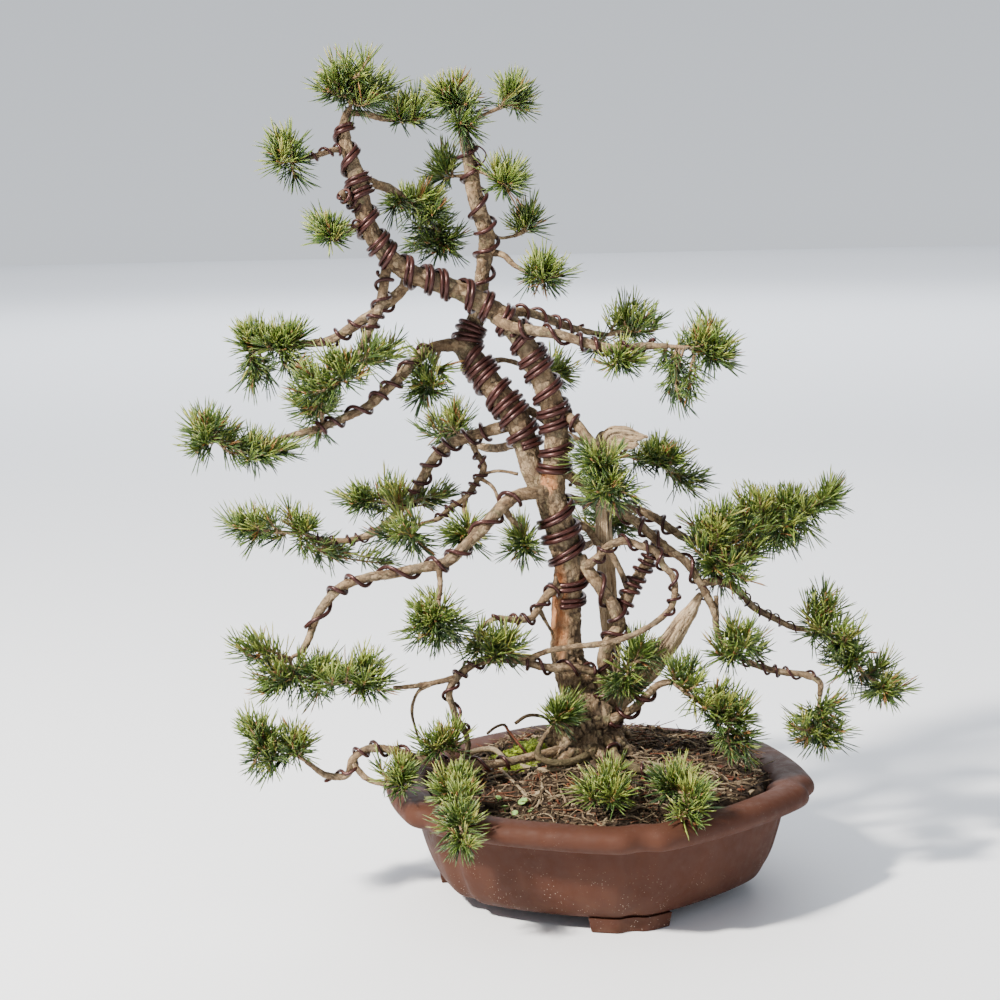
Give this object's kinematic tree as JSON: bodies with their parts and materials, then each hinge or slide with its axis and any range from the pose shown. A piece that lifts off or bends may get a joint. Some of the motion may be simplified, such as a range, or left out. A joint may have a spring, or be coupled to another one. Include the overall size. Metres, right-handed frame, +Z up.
{
  "type": "scots pine bonsai",
  "caption": "Small trained pine with crossing trunks, wired branches and needle sprays, growing from mounded soil in a shallow lobed clay pot with corner feet",
  "frame": {"origin": "on the standing surface, under the middle of the whole tree's bounding box", "axes": "+Z up, +X to the right and -Y to the front as the tree is shown"},
  "size_m": [0.7045, 0.4752, 0.8187],
  "materials": {
    "clay": "matt unglazed red-brown clay with pale mineral specks",
    "screen": "dark green plastic mesh",
    "soil": null,
    "moss": null,
    "bark": "cracked grey-tan bark with bleached stripped wood",
    "wire": "satin dark maroon-brown anodised wire",
    "needles": null
  },
  "bodies": {
    "root": {"pot": "clay", "drain_screen": "screen", "soil": "soil", "moss": "moss", "wood": "bark", "wire_trunk": "wire", "wire_left_trunk": "wire", "wire_left_trunk_top": "wire", "wire_right_trunk": "wire", "wire_right_trunk_top": "wire", "wire_long_left": "wire", "wire_upper_left": "wire", "wire_right": "wire", "spray_crown_top": "needles", "spray_crown_side": "needles", "spray_second_top": "needles", "spray_second_top_right": "needles", "spray_top_left_tuft": "needles", "spray_second_left": "needles", "spray_second_right": "needles", "spray_back_top": "needles", "spray_thin_right": "needles", "spray_top_right": "needles", "spray_small_left": "needles", "spray_back_left": "needles", "spray_cross_left": "needles", "spray_upper_left_mid": "needles", "spray_upper_left_end": "needles", "spray_upper_left_under": "needles", "spray_lower_left_top": "needles", "spray_lower_left_end": "needles", "spray_inner_left": "needles", "spray_inner_drop_tuft": "needles", "spray_under_tuft": "needles", "spray_gap_left": "needles", "spray_behind_trunk": "needles", "spray_high_right": "needles", "spray_right_end": "needles", "spray_right_under": "needles", "spray_straight_right": "needles", "spray_back_right": "needles", "spray_right_mass_inner": "needles", "spray_right_mass_outer": "needles", "spray_outer_right": "needles", "spray_hanging_right": "needles", "spray_drooping_end": "needles", "spray_low_right": "needles", "spray_near_trunk": "needles", "spray_long_left_end": "needles", "spray_hanging_left": "needles", "spray_mid_left": "needles", "spray_bottom_left": "needles", "spray_rim_left": "needles", "spray_pot_left": "needles", "spray_front_right": "needles", "spray_base_tuft": "needles", "spray_front_middle": "needles", "spray_front_left": "needles", "spray_rear": "needles", "spray_rear_left": "needles"}
  },
  "joints": []
}
